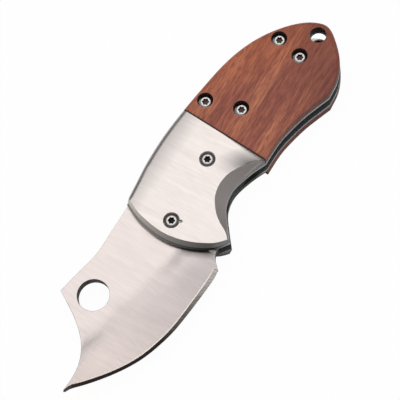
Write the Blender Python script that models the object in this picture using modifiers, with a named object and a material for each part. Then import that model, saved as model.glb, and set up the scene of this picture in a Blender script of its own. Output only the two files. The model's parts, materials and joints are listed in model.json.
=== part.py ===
"""Folding knife, lying open on its back side: a hooked blade, steel bolsters, wood scales and a liner lock.

Plan places are measured from the pivot, +X towards the butt and +Y towards the spine.
Heights are measured from the blade's middle plane, +Z towards the front side, and both sides mirror there.
"""
import math

import bmesh
import bpy
from mathutils import Matrix, Vector

# Driving sizes, in metres
blade_reach = 0.0563
blade_rise = 0.0154
blade_drop = 0.0186
blade_thickness = 0.0032
grind_width = 0.0118
bevel_width = 0.00145
bevel_tip_width = 0.00094
shoulder_thickness = 0.0008
opening_radius = 0.00466

handle_reach = 0.0741
handle_rise = 0.0172
joint_reach = 0.0294
nose_reach = 0.0056
scale_thickness = 0.0030
liner_thickness = 0.0010
rim_radius = 0.0019
liner_lead_width = 0.0005
front_lean_width = 0.0008
choil_lean_width = 0.0016
lanyard_radius = 0.00244

washer_thickness = 0.0002
washer_radius = 0.0046
barrel_radius = 0.00175
barrel_bore_radius = 0.0011
stop_pin_radius = 0.0016
stop_pin_reach = 0.0085
standoff_radius = 0.0020

head_radius = 0.0022
head_flat_radius = 0.00145
head_rim_height = 0.0004
head_height = 0.0011
recess_radius = 0.00093
recess_depth = 0.0007
shank_radius = 0.0009
bolster_sink_depth = 0.0002
wood_sink_depth = 0.0012
nub_radius = 0.00036
nub_reach = 0.00273

leaf_length = 0.0398
leaf_drop = 0.0029
lock_face_reach = 0.0042
lock_notch_drop = 0.0025
leaf_lift_height = 0.0012
detent_radius = 0.00055
detent_height = 0.0005
dimple_radius = 0.0005
dimple_depth = 0.0004

# Fits
seat_gap = 0.00015
running_gap = 0.0001
slit_gap = 0.0003
cut_overrun = 0.0020

# Angles and counts
closed_angle = math.radians(162.5)
stop_pin_angle = math.radians(85.0)
nub_angle = math.radians(-63.5)
sharp_angle = math.radians(32.0)
grind_slope = math.radians(9.7)
span_steps = 4
rim_steps = 4
round_sides = 28
screw_sides = 20
ball_sides = 12
lobe_points = 24
lobes = 6
bore_sides = 32
hole_sides = 40

# The bolster's outline, as shares of the joint's reach and the handle's rise
bolster_spine_shares = ((0.136, 0.903), (0.373, 0.970), (0.680, 1.011))
joint_spine_share = 1.003
joint_edge_share = -0.680
choil_shares = ((0.834, -0.576), (0.612, -0.498), (0.436, -0.565), (0.292, -0.756), (0.148, -0.985))

# The front edge, as shares of the nose's reach and the handle's rise
nose_shares = ((0.04, -0.814), (-0.60, -0.488), (-0.93, -0.163), (-1.00, 0.151), (-0.83, 0.535), (-0.46, 0.837))

# The scale's outline behind the joint, as shares of its own length and the handle's rise
scale_spine_shares = ((0.193, 0.974), (0.383, 0.930), (0.551, 0.842), (0.710, 0.680), (0.848, 0.450),
                      (0.945, 0.206), (0.996, -0.035), (0.997, -0.215), (0.950, -0.407), (0.852, -0.669),
                      (0.729, -0.842), (0.599, -0.899))
grip_shares = ((0.518, -0.832), (0.405, -0.747), (0.282, -0.688), (0.160, -0.657))

# The finger relief's border on the face, as shares of the joint's reach and the handle's rise, and its slope
relief_centre_shares = (0.578, -0.872)
relief_shares = ((0.983, -0.733), (0.969, -0.634), (0.925, -0.541), (0.850, -0.459), (0.789, -0.390),
                 (0.687, -0.314), (0.560, -0.297), (0.444, -0.349), (0.366, -0.436), (0.291, -0.558),
                 (0.238, -0.692), (0.201, -0.826), (0.170, -0.907), (0.139, -0.962), (0.109, -1.023))
relief_foot_share = 0.61
corner_lean_share = 0.6
grip_rim_share = 0.2

# The blade's outline: spine and notch as shares of its reach and rise, heel and edge of its reach and drop
blade_spine_shares = ((-0.025, 0.945), (-0.178, 0.906), (-0.337, 0.870), (-0.471, 0.942), (-0.595, 1.0))
blade_notch_shares = ((-0.595, 1.0), (-0.643, 0.643), (-0.693, 0.338), (-0.755, 0.078), (-0.829, -0.084),
                      (-0.906, -0.156))
blade_heel_shares = ((0.009, -0.790), (-0.010, -0.806), (-0.028, -0.845), (-0.042, -0.895), (-0.055, -0.940),
                     (-0.066, -0.974))
blade_edge_shares = ((-0.066, -0.974), (-0.112, -0.997), (-0.204, -1.0), (-0.342, -0.990), (-0.446, -0.970),
                     (-0.542, -0.917), (-0.630, -0.842), (-0.710, -0.738), (-0.784, -0.612), (-0.851, -0.477),
                     (-0.915, -0.331), (-0.960, -0.215), (-1.0, -0.134))
heel_top_share = 0.10
plunge_share = 0.16
corner_edge_share = 0.56
bevel_start_share = 0.004
last_station_share = 0.985
grind_limit_share = 0.93
bevel_limit_share = 0.45

# Places of holes, screws and small shapes, as shares of what carries them
opening_shares = (-0.521, 0.442)
bolster_screw_shares = (0.704, 0.130)
lanyard_shares = (0.906, -0.140)
standoff_screw_shares = {"spine": (0.130, 0.778), "butt": (0.749, 0.378), "tail": (0.720, -0.092)}
grip_screw_shares = (0.211, 0.184)
leaf_slant_shares = (0.337, -0.698)
head_shoulder_share = 0.6
lobe_share = 0.16
nub_arm_share = 0.75

# Heights of the layers, from the middle plane out to one side
slot_half = blade_thickness / 2 + washer_thickness + 2 * running_gap
liner_out = slot_half + liner_thickness
scale_in = liner_out + seat_gap
scale_out = scale_in + scale_thickness
blade_half = blade_thickness / 2
bore_radius = shank_radius + seat_gap
counterbore_radius = head_radius + seat_gap
tang_radius = stop_pin_reach - stop_pin_radius - slit_gap
scale_reach = handle_reach - joint_reach
leaf_root = lock_face_reach + leaf_length
point_match = seat_gap / 100
front_side = 1
back_side = -1


def clear_scene():
    for thing in list(bpy.data.objects):
        bpy.data.objects.remove(thing, do_unlink=True)


def bolster_place(shares):
    return Vector((shares[0] * joint_reach, shares[1] * handle_rise))


def nose_place(shares):
    return Vector((shares[0] * nose_reach, shares[1] * handle_rise))


def scale_place(shares):
    return Vector((joint_reach + shares[0] * scale_reach, shares[1] * handle_rise))


def blade_place(shares):
    """The spine and notch follow the blade's rise, the heel and edge its drop."""
    return Vector((shares[0] * blade_reach, shares[1] * blade_rise))


def edge_place(shares):
    return Vector((shares[0] * blade_reach, shares[1] * blade_drop))


def polar(radius, angle):
    return Vector((radius * math.cos(angle), radius * math.sin(angle)))


def smooth_run(points):
    """A curve through every point, with span_steps stretches between neighbours."""
    ends = [2 * points[0] - points[1]] + list(points) + [2 * points[-1] - points[-2]]
    run = []
    for before, start, stop, after in zip(ends, ends[1:], ends[2:], ends[3:]):
        for step in range(span_steps):
            t = step / span_steps
            run.append(((2 * start) + (stop - before) * t
                        + (2 * before - 5 * start + 4 * stop - after) * t ** 2
                        + (3 * start - before - 3 * stop + after) * t ** 3) / 2)
    return run + [points[-1]]


def arc(radius, start, stop, steps):
    return [polar(radius, start + (stop - start) * step / steps) for step in range(steps + 1)]


def at_share(run, share):
    """The point a share of the way along a run, by length."""
    lengths = [(b - a).length for a, b in zip(run, run[1:])]
    left = share * sum(lengths)
    for a, b, length in zip(run, run[1:], lengths):
        if left <= length:
            return a.lerp(b, left / length)
        left -= length
    return run[-1].copy()


def handle_runs():
    """The handle's outline as five runs, clockwise from the spine's front corner."""
    joint_spine = bolster_place((1, joint_spine_share))
    joint_edge = bolster_place((1, joint_edge_share))
    front = [nose_place(nose_shares[-1])] + [bolster_place(s) for s in bolster_spine_shares]
    rear = [scale_place(s) for s in scale_spine_shares]
    spine = smooth_run(front + [joint_spine] + rear)
    joint_step = len(front) * span_steps
    grip = smooth_run([rear[-1]] + [scale_place(s) for s in grip_shares] + [joint_edge])
    choil = smooth_run([joint_edge] + [bolster_place(s) for s in choil_shares])
    nose = smooth_run([choil[-1]] + [nose_place(s) for s in nose_shares])
    return spine[:joint_step + 1], spine[joint_step:], grip, choil, nose


def set_back(nose, distance):
    """The front edge moved back, less and less towards its lower corner."""
    count = len(nose) - 1
    moved = []
    for step, point in enumerate(nose):
        share = 1 - (1 - step / count) ** 6
        moved.append(point + Vector((distance * share, 0)))
    return moved


def lean_in(choil, nose):
    """The choil's run moved in, with its ends kept on the joint and on the front edge."""
    last = len(choil) - 1
    moved = []
    for step, point in enumerate(choil):
        along = (choil[min(step + 1, last)] - choil[max(step - 1, 0)]).normalized()
        inward = Vector((along.y, -along.x))
        width = choil_lean_width * (1 + (corner_lean_share - 1) * step / last)
        if step == 0:
            inward = Vector((0, 1 / inward.y))
        if step == last:
            rising = (nose[1] - nose[0]).normalized()
            inward = rising / inward.dot(rising)
        moved.append(point + inward * width)
    return moved


def close_up(run, corner):
    """The points of a run spread anew behind a corner that has moved in along it."""
    length = sum((after - before).length for before, after in zip(run, run[1:]))
    start = (corner - run[0]).length / length
    count = len(run) - 1
    return [at_share(run, start + (1 - start) * step / count) for step in range(count + 1)]


def new_collection(name):
    group = bpy.data.collections.new(name)
    bpy.context.scene.collection.children.link(group)
    return group


def new_empty(name, parent, place):
    empty = bpy.data.objects.new(name, None)
    empty.location = place
    empty.parent = parent
    parts.objects.link(empty)
    return empty


def new_piece(name, mesh, parent, group=None):
    piece = bpy.data.objects.new(name, mesh)
    piece.parent = parent
    (group or parts).objects.link(piece)
    return piece


def finish_mesh(bm, name):
    bmesh.ops.recalc_face_normals(bm, faces=bm.faces)
    mesh = bpy.data.meshes.new(name)
    bm.to_mesh(mesh)
    bm.free()
    mesh.shade_smooth()
    mesh.set_sharp_from_angle(angle=sharp_angle)
    return mesh


def new_edge_sharpener():
    """Geometry nodes that keep every edge over the sharp angle crisp, also those that the cuts make."""
    tree = bpy.data.node_groups.new("sharpen_edges", "GeometryNodeTree")
    tree.interface.new_socket("Mesh", in_out="INPUT", socket_type="NodeSocketGeometry")
    tree.interface.new_socket("Mesh", in_out="OUTPUT", socket_type="NodeSocketGeometry")
    start = tree.nodes.new("NodeGroupInput")
    end = tree.nodes.new("NodeGroupOutput")
    angle = tree.nodes.new("GeometryNodeInputMeshEdgeAngle")
    over = tree.nodes.new("FunctionNodeCompare")
    over.inputs["B"].default_value = sharp_angle
    shade = tree.nodes.new("GeometryNodeSetShadeSmooth")
    shade.domain = "EDGE"
    shade.inputs["Shade Smooth"].default_value = False
    tree.links.new(angle.outputs["Unsigned Angle"], over.inputs["A"])
    tree.links.new(over.outputs["Result"], shade.inputs["Selection"])
    tree.links.new(start.outputs["Mesh"], shade.inputs["Geometry"])
    tree.links.new(shade.outputs["Geometry"], end.inputs["Mesh"])
    return tree


def plate_mesh(name, outline, low, high):
    """A flat outline, drawn as a filled curve and made a mesh with one face above and one below."""
    curve = bpy.data.curves.new(name, "CURVE")
    curve.dimensions = "2D"
    curve.fill_mode = "BOTH"
    curve.extrude = (high - low) / 2
    spline = curve.splines.new("POLY")
    spline.points.add(len(outline) - 1)
    for corner, point in zip(spline.points, outline):
        corner.co = (point.x, point.y, 0, 1)
    spline.use_cyclic_u = True
    drawn = bpy.data.objects.new(name, curve)
    bpy.context.scene.collection.objects.link(drawn)
    bpy.context.view_layer.update()
    raw = bpy.data.meshes.new_from_object(drawn.evaluated_get(bpy.context.evaluated_depsgraph_get()))
    bpy.data.objects.remove(drawn)
    bm = bmesh.new()
    bm.from_mesh(raw)
    bpy.data.meshes.remove(raw)
    bmesh.ops.remove_doubles(bm, verts=bm.verts, dist=point_match)
    bm.normal_update()
    for up in (1, -1):
        bmesh.ops.dissolve_faces(bm, faces=[f for f in bm.faces if f.normal.z * up > 0.5])
    bmesh.ops.translate(bm, verts=bm.verts, vec=(0, 0, (low + high) / 2))
    return finish_mesh(bm, name)


def sided(low, high, side):
    """A height range on the front side, or mirrored to the back side."""
    return (low, high) if side == front_side else (-high, -low)


def round_mesh(name, profile, sides):
    """A turned shape: the profile runs down its outer side, from the axis at the top to the axis below."""
    mesh = bpy.data.meshes.new(name)
    mesh.from_pydata([(r, 0, z) for r, z in profile], [(i, i + 1) for i in range(len(profile) - 1)], [])
    piece = bpy.data.objects.new(name, mesh)
    bpy.context.scene.collection.objects.link(piece)
    turn = piece.modifiers.new("turn", "SCREW")
    turn.steps = sides
    turn.render_steps = sides
    turn.use_merge_vertices = True
    turn.merge_threshold = point_match
    bpy.context.view_layer.update()
    raw = bpy.data.meshes.new_from_object(piece.evaluated_get(bpy.context.evaluated_depsgraph_get()))
    bpy.data.objects.remove(piece)
    bm = bmesh.new()
    bm.from_mesh(raw)
    bpy.data.meshes.remove(raw)
    bmesh.ops.remove_doubles(bm, verts=bm.verts, dist=point_match)
    return finish_mesh(bm, name)


def tube_mesh(name, outer, inner, low, high, sides):
    return round_mesh(name, ((outer, high), (outer, low), (inner, low), (inner, high), (outer, high)), sides)


def cylinder_cutter(name, place, radius, low, high, sides, top_radius=None, parent=None):
    bm = bmesh.new()
    bmesh.ops.create_cone(bm, cap_ends=True, segments=sides, radius1=radius,
                          radius2=radius if top_radius is None else top_radius, depth=high - low)
    bmesh.ops.translate(bm, verts=bm.verts, vec=(place.x, place.y, (low + high) / 2))
    return new_cutter(name, finish_mesh(bm, name), parent)


def new_cutter(name, mesh, parent=None):
    cutter = new_piece(name, mesh, parent or middle, cutters)
    cutter.hide_render = True
    cutter.display_type = "WIRE"
    return cutter


def cut(piece, cutter, operation="DIFFERENCE"):
    change = piece.modifiers.new(cutter.name, "BOOLEAN")
    change.operation = operation
    change.solver = "EXACT"
    change.object = cutter


def paint(piece, colour, roughness, metallic):
    finish = bpy.data.materials.new(piece.name + "_finish")
    finish.use_nodes = True
    shader = finish.node_tree.nodes["Principled BSDF"]
    shader.inputs["Base Color"].default_value = (*colour, 1)
    shader.inputs["Roughness"].default_value = roughness
    shader.inputs["Metallic"].default_value = metallic
    finish.diffuse_color = (*colour, 1)
    piece.data.materials.append(finish)
    sharpen = piece.modifiers.new("sharpen", "NODES")
    sharpen.node_group = edge_sharpener


def paint_satin_steel(piece):
    paint(piece, (0.78, 0.76, 0.74), 0.32, 1.0)


def paint_bright_steel(piece):
    paint(piece, (0.72, 0.72, 0.72), 0.20, 1.0)


def paint_dark_steel(piece):
    paint(piece, (0.30, 0.30, 0.31), 0.30, 1.0)


def paint_wood(piece):
    paint(piece, (0.30, 0.09, 0.05), 0.45, 0.0)


def paint_bronze(piece):
    paint(piece, (0.55, 0.36, 0.20), 0.40, 1.0)


def below_grind(spot):
    """How far a place lies below the straight line at which the grind begins."""
    heel_spot = edge_place(blade_edge_shares[0]) + Vector((0, grind_width))
    return (spot - heel_spot).dot(polar(1, -grind_slope - math.pi / 2))


def grind_fall(edge):
    """The grind is one plane. Its fall for each length leaves the shoulder's thickness where the belly is deepest."""
    deepest = max(below_grind(spot) for spot in edge) - bevel_width
    return (blade_half - shoulder_thickness / 2) / deepest


def station_ring(top, low, fall, share, blunt):
    """One section of the blade, as points round both sides. A blunt one ends in the heel's wall, not in a bevel.

    The bevel narrows towards the tip, by the share of the edge that the section has reached.
    """
    across = low - top
    reach = across.length
    towards = across / reach
    bevel = bevel_width + (bevel_tip_width - bevel_width) * share
    inset = min(bevel, bevel_limit_share * reach)
    shoulder_spot = top + towards * (reach - inset)
    run = below_grind(shoulder_spot) * reach / (below_grind(low) - below_grind(top))
    grind_spot = shoulder_spot - towards * min(run, grind_limit_share * (reach - inset))
    ring = []
    for spot in (top, grind_spot, low if blunt else shoulder_spot):
        ring.append(Vector((spot.x, spot.y, blade_half - fall * max(0, below_grind(spot)))))
    ring.append(Vector((low.x, low.y, 0)))
    ring += [Vector((spot.x, spot.y, -spot.z)) for spot in reversed(ring[:3])]
    return ring


def closed_shoulder():
    """The stop shoulder of the folded blade: its inner end, on the tang's round, and its outer end, at the heel."""
    outward = polar(1, stop_pin_angle - closed_angle)
    aside = Vector((outward.y, -outward.x)) * (stop_pin_radius + seat_gap)
    heel_drop = edge_place(blade_heel_shares[0]).y
    foot = outward * stop_pin_reach + aside
    return outward * tang_radius + aside, foot + outward * ((heel_drop - foot.y) / outward.y)


def notch_shares(notch, count):
    """Where the sections start on the notch's edge: evenly, and one more where the grind begins there."""
    shares = [step / count * last_station_share for step in range(count + 1)]
    depths = [below_grind(at_share(notch, share)) for share in shares]
    for step in range(count):
        if depths[step] < 0 < depths[step + 1]:
            part = depths[step] / (depths[step] - depths[step + 1])
            shares.insert(step + 1, shares[step] + (shares[step + 1] - shares[step]) * part)
            break
    return shares


def blade_stations():
    spine = smooth_run([blade_place(s) for s in blade_spine_shares])
    notch = smooth_run([blade_place(s) for s in blade_notch_shares] + [edge_place(blade_edge_shares[-1])])
    heel = smooth_run([edge_place(s) for s in blade_heel_shares])
    edge = smooth_run([edge_place(s) for s in blade_edge_shares])
    fall = grind_fall(edge)
    rings = []
    heel_stations, belly_stations, notch_stations = 6, 14, 16
    for step in range(heel_stations + 1):
        share = step / heel_stations
        plunged = fall * min(1, share / plunge_share)
        rings.append(station_ring(at_share(spine, heel_top_share * share), at_share(heel, share), plunged, 0, True))
    for step in range(belly_stations):
        share = max(step / belly_stations, bevel_start_share)
        top = at_share(spine, heel_top_share + (1 - heel_top_share) * share)
        reached = corner_edge_share * share
        rings.append(station_ring(top, at_share(edge, reached), fall, reached, False))
    for share in notch_shares(notch, notch_stations):
        reached = corner_edge_share + (1 - corner_edge_share) * share
        rings.append(station_ring(at_share(notch, share), at_share(edge, reached), fall, reached, False))
    return rings, edge[-1]


def blade_mesh():
    """The ground part of the blade: a loft through its stations, closed at the tip."""
    rings, tip = blade_stations()
    bm = bmesh.new()
    rows = [[bm.verts.new(point) for point in ring] for ring in rings]
    for row, after in zip(rows, rows[1:]):
        for i, here in enumerate(row):
            j = (i + 1) % len(row)
            bm.faces.new((here, row[j], after[j], after[i]))
    bm.faces.new(list(reversed(rows[0])))
    point = bm.verts.new((tip.x, tip.y, 0))
    for i, here in enumerate(rows[-1]):
        bm.faces.new((here, rows[-1][(i + 1) % len(rows[-1])], point))
    return finish_mesh(bm, "blade")


def tang_outline():
    """The tang inside the handle, with its two stop shoulders and the notch behind which the leaf locks."""
    lap = -2 * stop_pin_radius
    pin = polar(stop_pin_reach, stop_pin_angle)
    open_shoulder_x = pin.x - stop_pin_radius - seat_gap
    shoulder_top = blade_rise - barrel_radius
    closed_inner, closed_corner = closed_shoulder()
    start = math.atan2(closed_inner.y, closed_inner.x)
    lock_low = -math.acos(lock_face_reach / tang_radius)
    lock_high = -math.asin(lock_notch_drop / tang_radius)
    stop = math.acos(open_shoulder_x / tang_radius)
    outline = [edge_place(blade_heel_shares[0]), closed_corner]
    outline += arc(tang_radius, start, lock_low, 6)
    outline += [Vector((lock_face_reach, -lock_notch_drop))]
    outline += arc(tang_radius, lock_high, stop, 18)
    outline += [Vector((open_shoulder_x, shoulder_top)), Vector((lap, shoulder_top))]
    return outline


def turned_back(place):
    """A plan place on the handle, as the folded blade carries it while the blade stands open."""
    return Matrix.Rotation(-closed_angle, 2) @ place


def make_blade():
    blade = new_piece("blade", blade_mesh(), blade_pivot)
    tang = plate_mesh("blade_tang", tang_outline(), -blade_half, blade_half)
    cut(blade, new_cutter("blade_tang", tang, blade_pivot), "UNION")
    beyond = blade_half + cut_overrun
    holes = (("blade_opening", blade_place(opening_shares), opening_radius, beyond, hole_sides),
             ("blade_bore", Vector((0, 0)), barrel_radius + running_gap, beyond, bore_sides),
             ("blade_dimple", turned_back(ball_place), dimple_radius, dimple_depth - blade_half, screw_sides))
    for name, place, radius, high, sides in holes:
        cut(blade, cylinder_cutter(name, place, radius, -beyond, high, sides, parent=blade_pivot))
    paint_satin_steel(blade)


def nearest_step(run, spot):
    """The number of the point of a run that a spot lies on, or None."""
    step = min(range(len(run)), key=lambda i: (run[i] - spot).length)
    return step if (run[step] - spot).length < point_match else None


def mark_rim(mesh, side, run):
    """Marks the outer rim along a run of the outline, for the rounding."""
    weights = mesh.attributes.new("bevel_weight_edge", "FLOAT", "EDGE")
    for edge in mesh.edges:
        ends = [mesh.vertices[i].co for i in edge.vertices]
        outer = all(end.z * side > (scale_in + scale_out) / 2 for end in ends)
        steps = [nearest_step(run, end.xy) for end in ends]
        if outer and None not in steps and abs(steps[0] - steps[1]) == 1:
            weights.data[edge.index].value = 1


def round_rim(piece):
    rounding = piece.modifiers.new("rim", "BEVEL")
    rounding.limit_method = "WEIGHT"
    rounding.width = rim_radius
    rounding.segments = rim_steps
    rounding.use_clamp_overlap = False


def lean_wall(mesh, side, foot, top):
    """Leans a bolster's wall over, from its foot at the liner to its top at the outer face."""
    for vertex in mesh.vertices:
        step = nearest_step(foot, vertex.co.xy)
        if step is not None and vertex.co.z * side > (scale_in + scale_out) / 2:
            vertex.co.xy = top[step]


def side_name(side):
    return "front" if side == front_side else "back"


def make_bolster(side):
    name = side_name(side) + "_bolster"
    spine, _, _, choil, nose = handle_runs()
    base = set_back(nose, liner_lead_width)
    outline = [base[-1]] + spine[1:] + choil[:-1] + base[:-1]
    mesh = plate_mesh(name, outline, *sided(scale_in, scale_out, side))
    front_top = set_back(nose, liner_lead_width + front_lean_width)
    if side == back_side:
        choil_top = lean_in(choil, nose)
        front_top = close_up(front_top, choil_top[-1])
        lean_wall(mesh, side, choil, choil_top[:-1] + front_top[:1])
    lean_wall(mesh, side, base[1:], front_top[1:])
    rim = [front_top[-1]] + spine[1:]
    mark_rim(mesh, side, rim)
    bolster = new_piece(name, mesh, middle)
    round_rim(bolster)
    for tool in (pivot_bore, bolster_bore, pivot_seats[side], bolster_seats[side]):
        cut(bolster, tool)
    if side == front_side:
        cut(bolster, finger_relief)
        cut(bolster, nub_seat)
    paint_satin_steel(bolster)


def rim_radii(outline, rear_count):
    """The rim's radius at each point of a scale: full along the spine and the butt, small along the grip."""
    narrowing = 3 * span_steps
    radii = []
    for step in range(len(outline)):
        share = min(1, max(0, (rear_count - 1 - step) / narrowing))
        radii.append(rim_radius * (grip_rim_share + (1 - grip_rim_share) * share))
    return radii


def rimmed_mesh(name, outline, radii, low, high):
    """A plate with a rounded rim round its upper face. Its outline starts and ends on the joint line."""
    last = len(outline) - 1
    bm = bmesh.new()
    columns = []
    for step, (point, radius) in enumerate(zip(outline, radii)):
        along = (outline[min(step + 1, last)] - outline[max(step - 1, 0)]).normalized()
        inward = Vector((along.y, -along.x))
        if step in (0, last):
            inward = Vector((0, 1 / inward.y))
        column = [bm.verts.new((point.x, point.y, low))]
        for turn in range(rim_steps + 1):
            angle = math.pi / 2 * turn / rim_steps
            spot = point + inward * (radius * (1 - math.cos(angle)))
            column.append(bm.verts.new((spot.x, spot.y, high - radius + radius * math.sin(angle))))
        columns.append(column)
    for column, after in zip(columns, columns[1:]):
        for row in range(rim_steps + 1):
            bm.faces.new((column[row], after[row], after[row + 1], column[row + 1]))
    bm.faces.new(columns[0] + columns[-1][::-1])
    bm.faces.new([column[0] for column in columns])
    bm.faces.new([column[-1] for column in columns])
    return finish_mesh(bm, name)


def make_scale(side):
    name = side_name(side) + "_scale"
    _, rear, grip, _, _ = handle_runs()
    joint_line = joint_reach + seat_gap
    outline = [Vector((joint_line, rear[0].y))] + rear[1:] + grip[1:-1] + [Vector((joint_line, grip[-1].y))]
    mesh = rimmed_mesh(name, outline, rim_radii(outline, len(rear)), scale_in, scale_out)
    if side == back_side:
        mesh.transform(Matrix.Diagonal((1, 1, -1, 1)))
        mesh.flip_normals()
    scale = new_piece(name, mesh, middle)
    cut(scale, lanyard_hole)
    for screw in scale_screw_places:
        cut(scale, scale_bores[screw])
        cut(scale, scale_seats[screw, side])
    paint_wood(scale)


def liner_outline():
    spine, rear, grip, choil, nose = handle_runs()
    return spine[:-1] + rear[:-1] + grip[:-1] + choil[:-1] + nose[:-1]


def leaf_window(gap):
    """The block that parts the lock leaf from its liner, grown by a gap on the liner's side."""
    left = lock_face_reach + seat_gap - gap
    right = leaf_root + gap
    top = -leaf_drop + gap
    tip_low = -tang_radius + slit_gap
    slant = bolster_place(leaf_slant_shares)
    below = -handle_rise - cut_overrun
    return [Vector((left, top)), Vector((left, tip_low - gap)), Vector((slant.x - gap, slant.y - gap)),
            Vector((slant.x - gap, below)), Vector((right, below)), Vector((right, top))]


def make_liner(side):
    name = side_name(side) + "_liner"
    mesh = plate_mesh(name, liner_outline(), *sided(slot_half, liner_out, side))
    liner = new_piece(name, mesh, middle)
    if side == back_side:
        window = plate_mesh("leaf_window", leaf_window(slit_gap), -liner_out - cut_overrun, -slot_half / 2)
        cut(liner, new_cutter("leaf_window", window))
    cut(liner, lanyard_hole)
    for tool in [pivot_bore, stop_pin_bore, bolster_bore] + [scale_bores[s] for s in scale_screw_places]:
        cut(liner, tool)
    paint_bright_steel(liner)


def make_lock_leaf():
    """The sprung arm with its pressed-in detent ball, modelled flat in its liner and swung in behind the tang."""
    mesh = plate_mesh("lock_leaf", liner_outline(), *sided(slot_half, liner_out, back_side))
    shift = Matrix.Translation((-leaf_root, 0, (slot_half + liner_out) / 2))
    mesh.transform(shift)
    leaf = new_piece("lock_leaf", mesh, lock_hinge)
    block = plate_mesh("leaf_block", leaf_window(0), -liner_thickness, liner_thickness)
    block.transform(Matrix.Translation((-leaf_root, 0, 0)))
    cut(leaf, new_cutter("leaf_block", block, lock_hinge), "INTERSECT")
    ball = bmesh.new()
    bmesh.ops.create_uvsphere(ball, u_segments=ball_sides, v_segments=ball_sides, radius=detent_radius)
    seat = Vector((ball_place.x - leaf_root, ball_place.y, liner_thickness / 2 + detent_height - detent_radius))
    bmesh.ops.translate(ball, verts=ball.verts, vec=seat)
    cut(leaf, new_cutter("detent_ball", finish_mesh(ball, "detent_ball"), lock_hinge), "UNION")
    paint_bright_steel(leaf)


def lobed_mesh(name, low, high):
    """A six-lobed socket."""
    points = []
    for step in range(lobe_points):
        angle = math.tau * step / lobe_points
        points.append(polar(recess_radius * (1 + lobe_share * math.cos(lobes * angle)), angle))
    return plate_mesh(name, points, low, high)


def head_profile(top):
    """Down a button head: its flat, its slope and its rim, to the face that it seats on."""
    seat = top - head_height
    return [(0, top), (head_flat_radius, top), (head_flat_radius + (head_radius - head_flat_radius) * head_shoulder_share, top - head_rim_height),
            (head_radius, seat + head_rim_height), (head_radius, seat)]


def make_screw(name, place, side, sink, shank, tip_height):
    """A button-head screw whose head lies a sink below the outer face and whose shank ends at a height."""
    top = scale_out - sink
    profile = head_profile(top)
    profile += [(shank, profile[-1][1]), (shank, tip_height), (0, tip_height)]
    screw = new_piece(name, round_mesh(name, profile, screw_sides), middle)
    screw.location = (place.x, place.y, 0)
    screw.rotation_euler = (0 if side == front_side else math.pi, 0, 0)
    socket = new_cutter(name + "_socket", lobed_mesh(name + "_socket", top - recess_depth, top + cut_overrun),
                        screw)
    cut(screw, socket)
    paint_dark_steel(screw)
    return screw


def make_pivot_barrel():
    """A headed barrel from the front, bored for the screw that closes it from the back."""
    top = scale_out - bolster_sink_depth
    low = -scale_out + bolster_sink_depth + head_height + seat_gap
    bore_top = slot_half
    profile = head_profile(top)
    profile += [(barrel_radius, profile[-1][1]), (barrel_radius, low), (barrel_bore_radius, low),
                (barrel_bore_radius, bore_top), (0, bore_top)]
    barrel = new_piece("pivot_barrel", round_mesh("pivot_barrel", profile, round_sides), middle)
    spot = polar(nub_reach, nub_angle)
    nub_low = top - head_height
    nub = bmesh.new()
    bmesh.ops.create_cone(nub, cap_ends=True, segments=screw_sides, radius1=nub_radius, radius2=nub_radius,
                          depth=head_rim_height * 2)
    bmesh.ops.translate(nub, verts=nub.verts, vec=(spot.x, spot.y, nub_low + head_rim_height))
    arm = bmesh.new()
    bmesh.ops.create_cube(arm, size=1)
    stretch = Matrix.Diagonal((nub_reach / 2, nub_radius * 1.5, head_rim_height, 1))
    spin = Matrix.Rotation(nub_angle, 4, "Z")
    seat = spot * nub_arm_share
    bmesh.ops.transform(arm, matrix=Matrix.Translation((seat.x, seat.y, nub_low + head_rim_height)) @ spin @ stretch,
                        verts=arm.verts)
    cut(barrel, new_cutter("pivot_nub_arm", finish_mesh(arm, "pivot_nub_arm")), "UNION")
    cut(barrel, new_cutter("pivot_nub", finish_mesh(nub, "pivot_nub")), "UNION")
    socket = lobed_mesh("pivot_barrel_socket", top - recess_depth, top + cut_overrun)
    cut(barrel, new_cutter("pivot_barrel_socket", socket))
    paint_dark_steel(barrel)


def make_washers():
    for side in (front_side, back_side):
        low, high = sided(blade_half + running_gap, slot_half - running_gap, side)
        name = side_name(side) + "_washer"
        washer = new_piece(name, tube_mesh(name, washer_radius, barrel_radius + running_gap, low, high,
                                           round_sides), middle)
        paint_bronze(washer)


def make_stop_pin():
    reach = liner_out - running_gap
    profile = ((0, reach), (stop_pin_radius, reach), (stop_pin_radius, -reach), (0, -reach))
    pin = new_piece("stop_pin", round_mesh("stop_pin", profile, screw_sides), middle)
    spot = polar(stop_pin_reach, stop_pin_angle)
    pin.location = (spot.x, spot.y, 0)
    paint_dark_steel(pin)


def make_standoffs():
    reach = slot_half - running_gap
    for place_name, place in standoff_places.items():
        name = place_name + "_standoff"
        post = new_piece(name, tube_mesh(name, standoff_radius, bore_radius, -reach, reach, screw_sides), middle)
        post.location = (place.x, place.y, 0)
        paint_bright_steel(post)


def make_screws():
    for side in (front_side, back_side):
        word = side_name(side)
        make_screw(word + "_bolster_screw", bolster_screw_place, side, bolster_sink_depth, shank_radius,
                   slot_half + running_gap)
        for place_name, place in scale_screw_places.items():
            tip = slot_half + running_gap if place_name == "grip" else slot_half / 3
            make_screw(word + "_scale_screw_" + place_name, place, side, wood_sink_depth, shank_radius, tip)
    make_screw("pivot_screw", Vector((0, 0)), back_side, bolster_sink_depth, barrel_bore_radius - seat_gap,
               seat_gap * 2 - slot_half)


def seat_cutters(name, place, sink):
    """The counterbores of one screw place, front and back."""
    floor = scale_out - sink - head_height - running_gap
    seats = {}
    for side in (front_side, back_side):
        low, high = sided(floor, scale_out + cut_overrun, side)
        seats[side] = cylinder_cutter(name + "_seat_" + side_name(side), place, counterbore_radius, low, high,
                                      screw_sides + 8)
    return seats


def through_cutter(name, place, radius, sides):
    beyond = scale_out + cut_overrun
    return cylinder_cutter(name, place, radius, -beyond, beyond, sides)


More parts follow.
